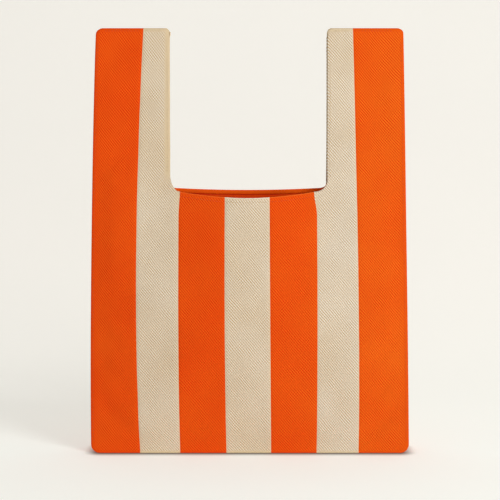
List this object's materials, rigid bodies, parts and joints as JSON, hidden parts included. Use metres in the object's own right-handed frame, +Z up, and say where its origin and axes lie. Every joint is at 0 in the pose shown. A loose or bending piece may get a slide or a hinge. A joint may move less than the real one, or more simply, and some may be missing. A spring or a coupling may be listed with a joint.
{
  "type": "fabric carrier bag",
  "caption": "Upright vest-shaped fabric carrier bag with vertical orange and beige stripes, an open mouth, and a handle loop rising from each shoulder.",
  "frame": {"origin": "on the floor under the middle of the bag", "axes": "+Z up from the base to the handle tops; -Y out of the front face; +X to the right as seen from the front"},
  "size_m": [0.4043, 0.069, 0.537],
  "materials": {
    "orange_twill": "matte diagonal twill",
    "beige_twill": "matte diagonal twill",
    "orange_lining": "plain weave lining",
    "stiffener_board": "matte"
  },
  "bodies": {
    "bag_body": {"front_stripe_1_orange": "orange_twill", "front_stripe_2_beige": "beige_twill", "front_stripe_6_beige": "beige_twill", "front_stripe_7_orange": "orange_twill", "back_stripe_1_orange": "orange_twill", "back_stripe_2_beige": "beige_twill", "back_stripe_6_beige": "beige_twill", "back_stripe_7_orange": "orange_twill", "left_side_wall": "orange_twill", "right_side_wall": "orange_twill", "base_panel": "orange_twill", "base_board": "stiffener_board", "left_lining": "orange_lining", "right_lining": "orange_lining", "lining_floor": "orange_lining", "left_fold_orange": "orange_twill", "left_fold_front_beige": "beige_twill", "left_fold_back_beige": "beige_twill", "right_fold_orange": "orange_twill", "right_fold_front_beige": "beige_twill", "right_fold_back_beige": "beige_twill"},
    "front_centre": {"front_stripe_3_orange": "orange_twill", "front_stripe_4_beige": "beige_twill", "front_stripe_5_orange": "orange_twill", "front_lining": "orange_lining", "front_rim_facing": "orange_lining"},
    "back_centre": {"back_stripe_3_orange": "orange_twill", "back_stripe_4_beige": "beige_twill", "back_stripe_5_orange": "orange_twill", "back_lining": "orange_lining", "back_rim_facing": "orange_lining"},
    "left_handle": {"left_strap_front_orange": "orange_twill", "left_strap_front_beige": "beige_twill", "left_strap_back_orange": "orange_twill", "left_strap_back_beige": "beige_twill", "left_strap_side": "orange_twill"},
    "right_handle": {"right_strap_front_orange": "orange_twill", "right_strap_front_beige": "beige_twill", "right_strap_back_orange": "orange_twill", "right_strap_back_beige": "beige_twill", "right_strap_side": "orange_twill"}
  },
  "joints": [
    {"name": "front_mouth", "type": "hinge", "parent": "bag_body", "child": "front_centre", "pos_m": [0, -0.0211, 0], "axis": [1, 0, 0], "range_deg": [-1.2, 4.5]},
    {"name": "back_mouth", "type": "hinge", "parent": "bag_body", "child": "back_centre", "pos_m": [0, 0.0211, 0], "axis": [1, 0, 0], "range_deg": [-4.5, 1.2]},
    {"name": "left_handle_swing", "type": "hinge", "parent": "bag_body", "child": "left_handle", "pos_m": [-0.149, 0, 0.3465], "axis": [1, 0, 0], "range_deg": [-90, 90], "deforming": ["left_fold_orange", "left_fold_front_beige", "left_fold_back_beige"]},
    {"name": "right_handle_swing", "type": "hinge", "parent": "bag_body", "child": "right_handle", "pos_m": [0.146, 0, 0.3465], "axis": [1, 0, 0], "range_deg": [-90, 90], "deforming": ["right_fold_orange", "right_fold_front_beige", "right_fold_back_beige"]}
  ],
  "couplings": [
    {"joint": "back_mouth", "follows": "front_mouth", "ratio": -1}
  ]
}
